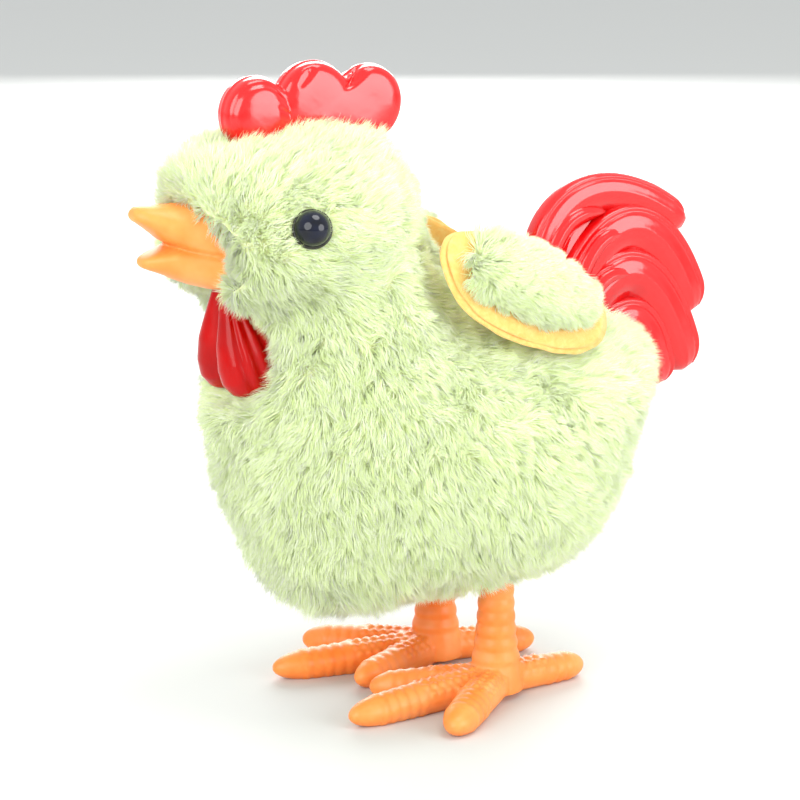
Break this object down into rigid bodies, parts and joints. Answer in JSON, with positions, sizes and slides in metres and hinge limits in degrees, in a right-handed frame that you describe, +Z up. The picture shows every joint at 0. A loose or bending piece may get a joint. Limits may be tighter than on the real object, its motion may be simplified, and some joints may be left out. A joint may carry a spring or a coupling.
{
  "type": "wind-up hopping chicken",
  "caption": "Plush-covered clockwork chicken with glossy red comb, wattle and tail, orange beak and two orange legs that swing together when it hops.",
  "frame": {"origin": "middle of the footprint of the whole toy, on the surface that the feet stand on", "axes": "+Z up, the chicken faces -Y, its left side is +X; X is the narrowest extent"},
  "size_m": [0.0648, 0.1004, 0.0993],
  "materials": {
    "plush": "long soft pile, pale lemon",
    "felt": "soft felt, light orange",
    "comb_red": "glossy",
    "wattle_red": "glossy",
    "tail_red": "glossy",
    "beak_orange": "satin",
    "leg_orange": "satin",
    "eye_black": "glossy",
    "shell_white": "satin",
    "gearbox_grey": "satin",
    "gear_nylon": "satin",
    "steel": "bright",
    "spring_steel": "oiled",
    "knob_ivory": "glossy"
  },
  "bodies": {
    "chicken": {"plush_coat": "plush", "wing_plush_left": "plush", "wing_plush_right": "plush", "wing_felt_left": "felt", "wing_felt_right": "felt", "shell_left": "shell_white", "shell_right": "shell_white", "shell_screw_head": "steel", "shell_screw_chest": "steel", "shell_screw_rump": "steel", "eye_washer_left": "steel", "eye_washer_right": "steel", "gearbox_screw_1": "steel", "gearbox_screw_2": "steel", "gearbox_screw_3": "steel", "gearbox_screw_4": "steel", "leg_shaft": "steel", "ratchet_click": "steel", "comb": "comb_red", "wattle": "wattle_red", "tail": "tail_red", "beak": "beak_orange", "eye_left": "eye_black", "eye_right": "eye_black", "gearbox_plate_left": "gearbox_grey", "gearbox_plate_right": "gearbox_grey", "mainspring": "spring_steel", "leg_cap_left": "knob_ivory", "leg_cap_right": "knob_ivory"},
    "winding": {"winding_shaft": "steel", "winding_knob": "knob_ivory", "ratchet_wheel": "steel"},
    "great_wheel_body": {"great_wheel": "gear_nylon"},
    "second_wheel_body": {"second_wheel": "gear_nylon"},
    "third_wheel_body": {"third_wheel": "gear_nylon"},
    "crank": {"crank_shaft": "steel", "crank_left": "gearbox_grey", "crank_right": "gearbox_grey"},
    "left_leg": {"leg_left": "leg_orange"},
    "right_leg": {"leg_right": "leg_orange"}
  },
  "joints": [
    {"name": "left_leg_swing", "type": "hinge", "parent": "chicken", "child": "left_leg", "pos_m": [0.0056, 0.0054, 0.028], "axis": [1, 0, 0], "range_deg": [-8.8, 8.8]},
    {"name": "right_leg_swing", "type": "hinge", "parent": "chicken", "child": "right_leg", "pos_m": [0.0056, 0.0054, 0.028], "axis": [1, 0, 0], "range_deg": [-8.9, 8.9]},
    {"name": "crank_turn", "type": "hinge", "parent": "chicken", "child": "crank", "pos_m": [0.0056, 0.0137, 0.04], "axis": [1, 0, 0], "range_deg": [-91, 91]},
    {"name": "third_wheel_turn", "type": "hinge", "parent": "chicken", "child": "third_wheel_body", "pos_m": [0.0056, 0.008, 0.0468], "axis": [1, 0, 0], "range_deg": [-37, 37]},
    {"name": "second_wheel_turn", "type": "hinge", "parent": "chicken", "child": "second_wheel_body", "pos_m": [0.0056, 0.00214, 0.03981], "axis": [1, 0, 0], "range_deg": [-13, 13]},
    {"name": "great_wheel_turn", "type": "hinge", "parent": "chicken", "child": "great_wheel_body", "pos_m": [0.0056, -0.00517, 0.04852], "axis": [1, 0, 0], "range_deg": [-4, 4]},
    {"name": "winding_turn", "type": "hinge", "parent": "chicken", "child": "winding", "pos_m": [0.0056, -0.00517, 0.04852], "axis": [1, 0, 0], "continuous": true}
  ],
  "couplings": [
    {"joint": "right_leg_swing", "follows": "left_leg_swing", "ratio": 1},
    {"joint": "crank_turn", "follows": "left_leg_swing", "ratio": 10.227},
    {"joint": "third_wheel_turn", "follows": "left_leg_swing", "ratio": -4.0909},
    {"joint": "second_wheel_turn", "follows": "left_leg_swing", "ratio": 1.3636},
    {"joint": "great_wheel_turn", "follows": "left_leg_swing", "ratio": -0.34091}
  ]
}
